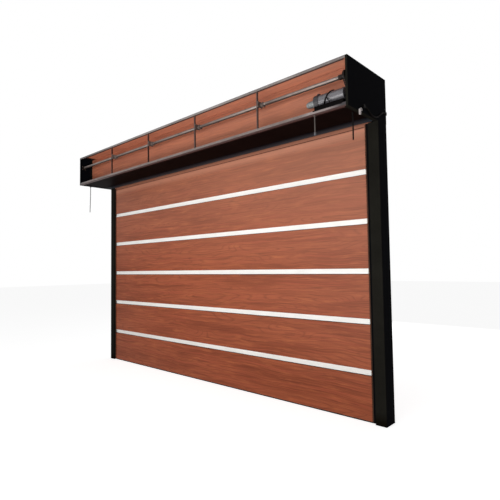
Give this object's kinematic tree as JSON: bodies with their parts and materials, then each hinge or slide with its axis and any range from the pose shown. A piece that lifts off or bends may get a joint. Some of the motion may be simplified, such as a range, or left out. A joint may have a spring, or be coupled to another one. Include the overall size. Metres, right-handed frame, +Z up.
{
  "type": "overhead sectional shutter door",
  "caption": "Wide wood-grain shutter door with white cross strips, black guide posts and a deep open-fronted header holding a drive shaft and a tubular motor.",
  "frame": {"origin": "middle of the underside of the left post's foot, at ground level", "axes": "+X along the door to the right, +Y into the building, +Z up; the door faces -Y"},
  "size_m": [5.099, 0.755, 3.423],
  "materials": {
    "black_steel": "black powder coat, satin",
    "guide_black": "black powder coat, matt",
    "soffit_steel": "very dark red-brown enamel, glossy",
    "grey_steel": "dull galvanised steel",
    "bar_steel": "brown-grey primer, matt",
    "dark_iron": "oiled dark iron",
    "wood_grain": "mahogany-grain laminate on insulated sections, satin",
    "white_strip": "white coated aluminium strip",
    "seal_rubber": "matt rubber",
    "motor_grey": "grey painted steel tube",
    "clamp_steel": "dark painted steel",
    "black_cable": "black cable sheath and glands",
    "rod_zinc": "zinc-plated rod",
    "white_plastic": "off-white plastic"
  },
  "bodies": {
    "root": {"post_left": "black_steel", "post_right": "black_steel", "post_feet": "black_steel", "end_tray_left": "black_steel", "end_tray_right": "black_steel", "header_top": "black_steel", "header_back": "black_steel", "lintel_beam": "black_steel", "board_angles": "black_steel", "guide_left": "guide_black", "guide_right": "guide_black", "soffit": "soffit_steel", "front_rail_top": "grey_steel", "front_rail_bottom": "grey_steel", "drive_shaft": "grey_steel", "bearing_brackets": "grey_steel", "front_bars": "bar_steel", "shaft_collars": "dark_iron", "end_bearings": "dark_iron", "shaft_end_block": "dark_iron", "shaft_sprocket": "dark_iron", "motor_sprocket": "dark_iron", "drive_chain": "dark_iron", "panel_1": "wood_grain", "panel_2": "wood_grain", "panel_3": "wood_grain", "panel_4": "wood_grain", "panel_5": "wood_grain", "panel_6": "wood_grain", "head_section": "wood_grain", "header_board": "wood_grain", "header_lining": "wood_grain", "cross_strips": "white_strip", "bottom_seal": "seal_rubber", "motor_body": "motor_grey", "motor_nose": "motor_grey", "motor_clamp": "clamp_steel", "motor_lead": "black_cable", "left_cord": "black_cable", "right_cord": "black_cable", "side_lead": "black_cable", "cable_entries": "black_cable", "cable_duct": "black_cable", "crank_rod": "rod_zinc", "connector_block": "white_plastic"}
  },
  "joints": []
}
